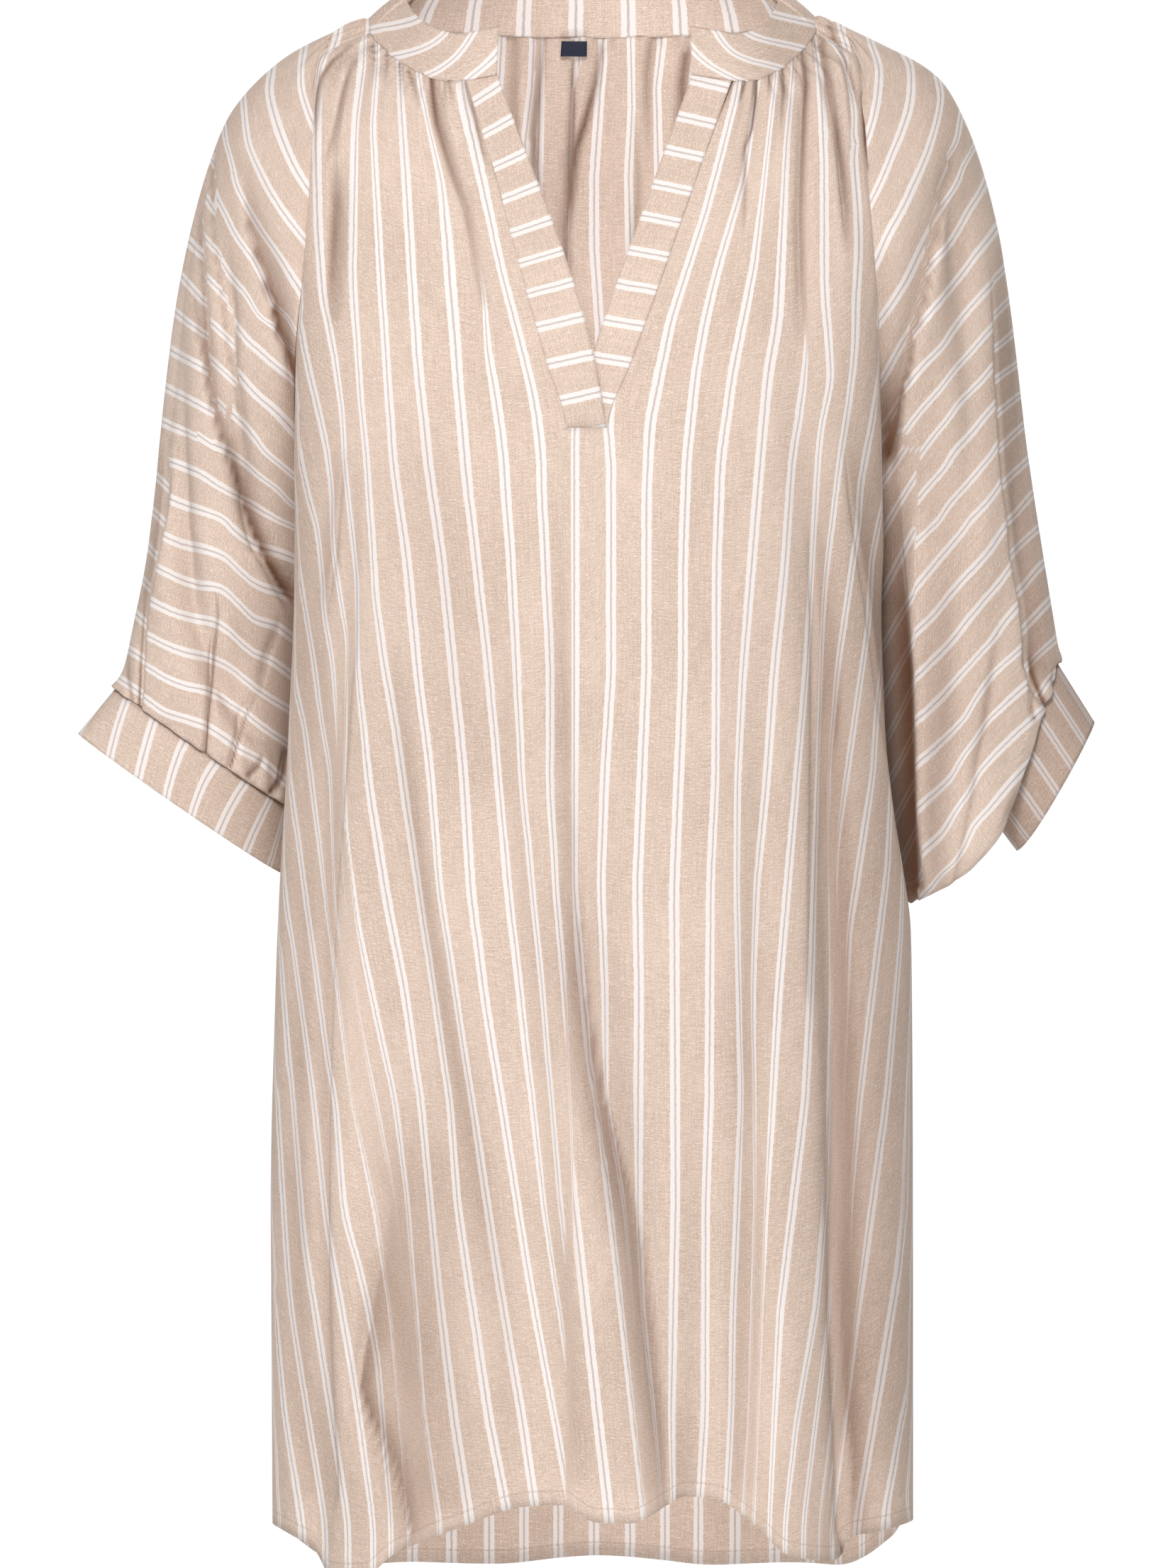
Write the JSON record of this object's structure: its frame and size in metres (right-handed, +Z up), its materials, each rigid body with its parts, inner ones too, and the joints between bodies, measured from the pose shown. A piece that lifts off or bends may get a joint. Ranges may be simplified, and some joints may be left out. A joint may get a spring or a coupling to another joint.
{
  "type": "tunic top",
  "caption": "Long loose tunic top in striped cloth with an open V slit at the neck, a stand band collar and blouson raglan sleeves gathered into turned cuffs.",
  "frame": {"origin": "between the wearer's shoulders, in the middle of the neck, at the height of the collar's seam on the shoulders", "axes": "+Z up along the wearer, +Y to the back, +X to the wearer's left"},
  "size_m": [0.5616, 0.2587, 0.8906],
  "materials": {
    "striped_cloth": "soft matt crepe with a faint slub and fine white double stripes",
    "label": "matt woven tape"
  },
  "bodies": {
    "root": {"front": "striped_cloth", "back": "striped_cloth", "sleeve_right": "striped_cloth", "sleeve_left": "striped_cloth", "cuff_right": "striped_cloth", "cuff_left": "striped_cloth", "collar": "striped_cloth", "placket_right": "striped_cloth", "placket_left": "striped_cloth", "size_label": "label"}
  },
  "joints": []
}
